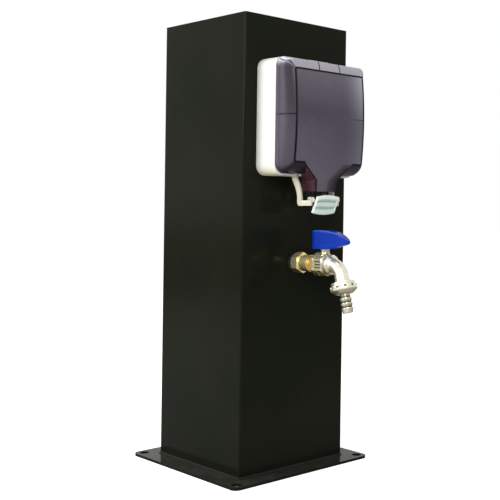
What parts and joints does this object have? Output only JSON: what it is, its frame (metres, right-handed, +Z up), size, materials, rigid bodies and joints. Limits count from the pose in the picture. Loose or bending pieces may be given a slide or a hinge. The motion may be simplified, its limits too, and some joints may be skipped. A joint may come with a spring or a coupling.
{
  "type": "garden standpipe",
  "caption": "Floor-standing black square garden standpipe with a ball-valve bib tap and barbed hose union, and a push-lever soap dispenser with a lift-up smoked cover.",
  "frame": {"origin": "centre of the four anchor holes, on the underside of the base plate", "axes": "+Z up the column; the tap and dispenser are on the -Y face; +X is to the right seen from the front"},
  "size_m": [0.26, 0.3536, 0.668],
  "materials": {
    "black_paint": "gloss black powder coat with a slight olive cast",
    "nickel_plate": "satin nickel plate on cast brass",
    "bare_brass": "bare brass",
    "steel": "stainless steel",
    "black_rubber": "moulded rubber",
    "seal_plastic": "waxy white seal plastic",
    "blue_plastic": "moulded royal-blue plastic",
    "white_plastic": "moulded white plastic",
    "smoked_plastic": "smoked purple-grey translucent plastic, polished",
    "pale_mint_plastic": "pale mint-white moulded plastic",
    "pump_plastic": "dark moulded plastic",
    "pipe_metal": "drawn pipe"
  },
  "bodies": {
    "stand": {"base_plate": "black_paint", "column_tube": "black_paint", "base_weld": "black_paint", "top_plate": "black_paint", "wall_seal": "black_rubber", "wall_extension": "nickel_plate", "inner_washer": "steel", "backnut": "bare_brass", "wall_elbow": "bare_brass", "riser_pipe": "pipe_metal", "inlet_coupling": "bare_brass", "pipe_bracket": "steel", "inlet_nipple": "bare_brass", "inlet_collar": "nickel_plate", "tap_body": "nickel_plate", "rear_seat": "seal_plastic", "front_seat": "seal_plastic", "stem_seal": "seal_plastic", "gland_nut": "bare_brass", "hose_gasket": "black_rubber", "hose_tail": "nickel_plate", "back_shell": "white_plastic", "fixing_screws": "steel", "soap_cartridge": "white_plastic", "cover_hinge_rod": "steel", "pump_body": "pump_plastic", "check_ball": "steel", "pump_spring": "steel", "nozzle": "pump_plastic", "lever_pins": "steel"},
    "tap_lever": {"handle": "blue_plastic", "handle_screw": "steel", "stem": "bare_brass", "valve_ball": "steel"},
    "hose_nut": {"union_nut": "nickel_plate"},
    "cover": {"cover_frame": "smoked_plastic", "front_panel": "smoked_plastic"},
    "lever": {"push_lever": "white_plastic", "push_pad": "pale_mint_plastic", "pad_pins": "steel"},
    "plunger": {"pump_plunger": "white_plastic", "plunger_seal": "black_rubber"}
  },
  "joints": [
    {"name": "tap_turn", "type": "hinge", "parent": "stand", "child": "tap_lever", "pos_m": [0, -0.1645, 0.309], "axis": [0, 0, -1], "range_deg": [0, 90]},
    {"name": "nut_spin", "type": "hinge", "parent": "stand", "child": "hose_nut", "pos_m": [0, -0.19923, 0.29451], "axis": [0, -0.2756, -0.9613], "continuous": true},
    {"name": "cover_lift", "type": "hinge", "parent": "stand", "child": "cover", "pos_m": [0, -0.1425, 0.6012], "axis": [-1, 0, 0], "range_deg": [0, 100]},
    {"name": "lever_press", "type": "hinge", "parent": "stand", "child": "lever", "pos_m": [0, -0.134, 0.446], "axis": [1, 0, 0], "range_deg": [0, 14], "stiffness_Nm_per_rad": 1.5, "springref_deg": -2.86},
    {"name": "plunger_slide", "type": "slide", "parent": "stand", "child": "plunger", "axis": [0, 1, 0], "range_m": [0, 0.0055], "deforming": ["pump_spring"]}
  ],
  "couplings": [
    {"joint": "plunger_slide", "follows": "lever_press", "m_per_rad": 0.0215}
  ]
}
